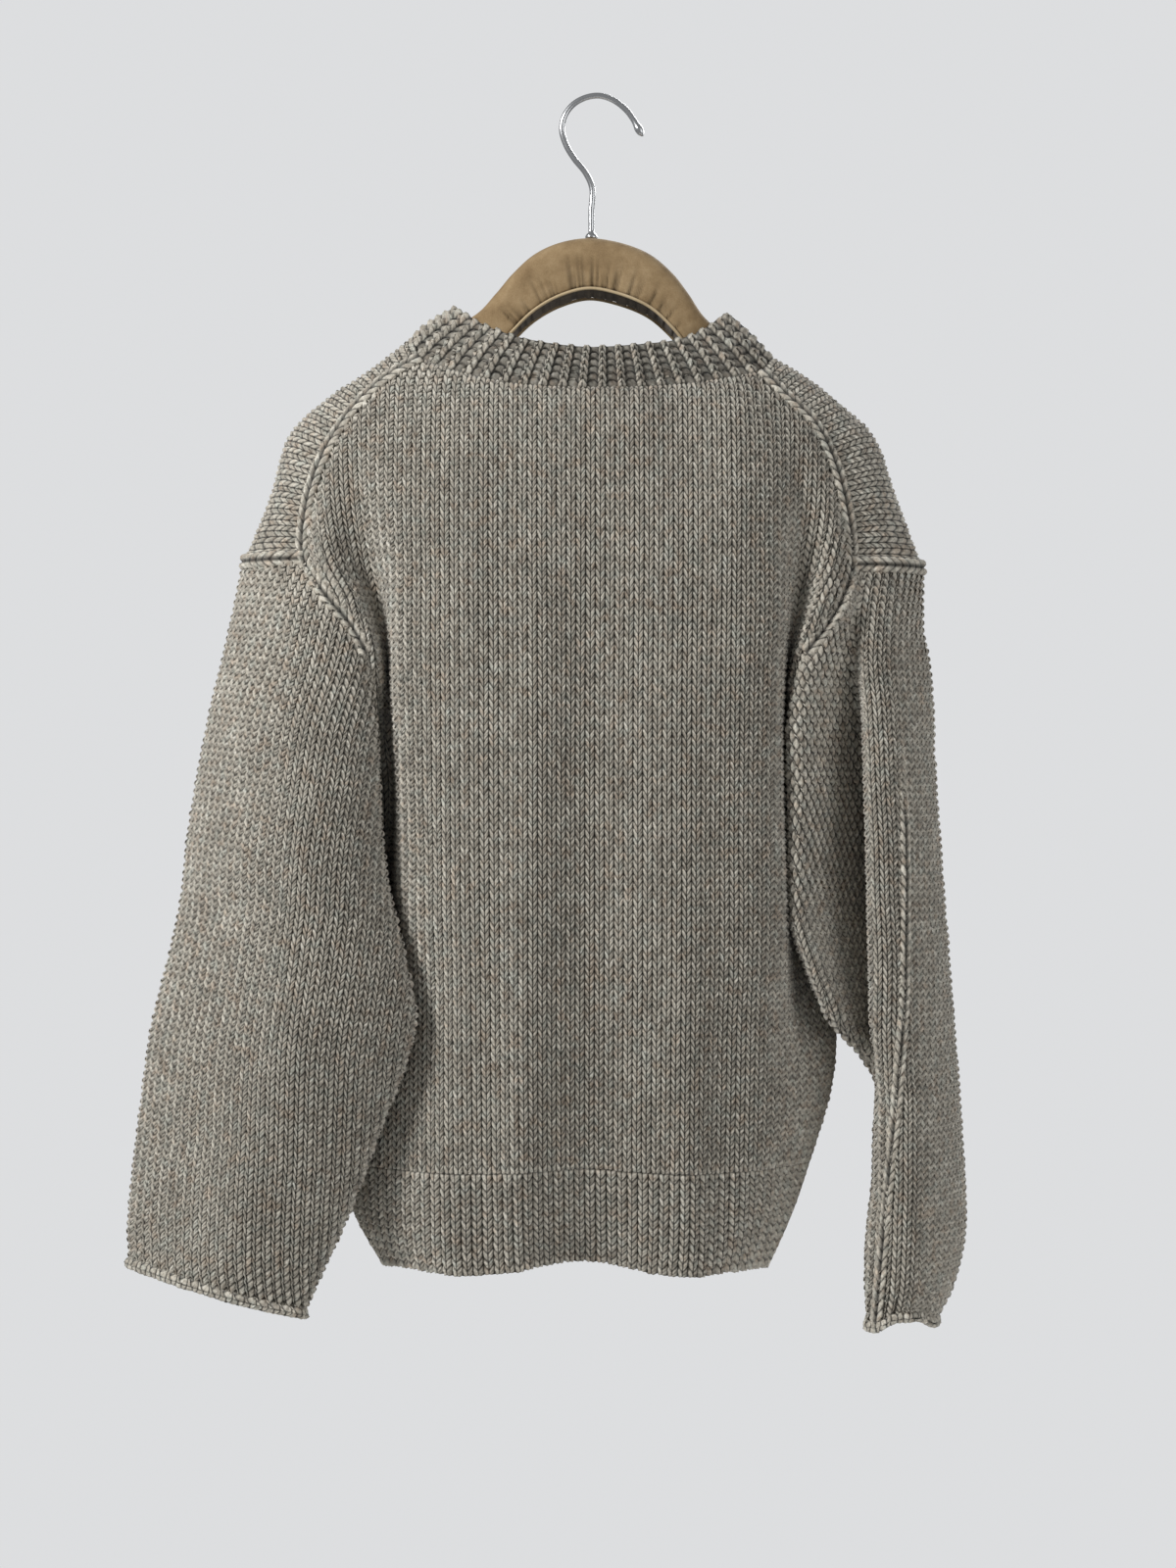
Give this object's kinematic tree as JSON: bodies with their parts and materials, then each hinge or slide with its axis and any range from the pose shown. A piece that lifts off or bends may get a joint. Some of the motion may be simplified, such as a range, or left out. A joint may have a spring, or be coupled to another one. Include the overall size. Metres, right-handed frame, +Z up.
{
  "type": "cardigan on hanger",
  "caption": "Chunky hand-knit cardigan with saddle shoulders and rolled cuffs, hanging open on a padded contoured hanger with a wire hook.",
  "frame": {"origin": "inside of the crown of the hanger's hook, where a rail carries it", "axes": "+Z up, +X towards the right of the garment's back as it is looked at, -Y out of the garment's back"},
  "size_m": [0.5957, 0.1725, 0.8779],
  "materials": {
    "knit": "heathered grey-beige wool, stocking stitch",
    "rib": "the same wool in ribbing",
    "hanger_cover": "matt tan suede-like cover, drawn in small wrinkles",
    "hook_steel": "polished wire"
  },
  "bodies": {
    "root": {"back": "knit", "front_left": "knit", "front_right": "knit", "saddle_left": "knit", "saddle_right": "knit", "sleeve_left": "knit", "sleeve_right": "knit", "neck_band": "rib", "front_band_left": "rib", "front_band_right": "rib", "hem_rib_back": "rib", "hem_rib_front_left": "rib", "hem_rib_front_right": "rib", "hanger": "hanger_cover", "hook": "hook_steel"}
  },
  "joints": []
}
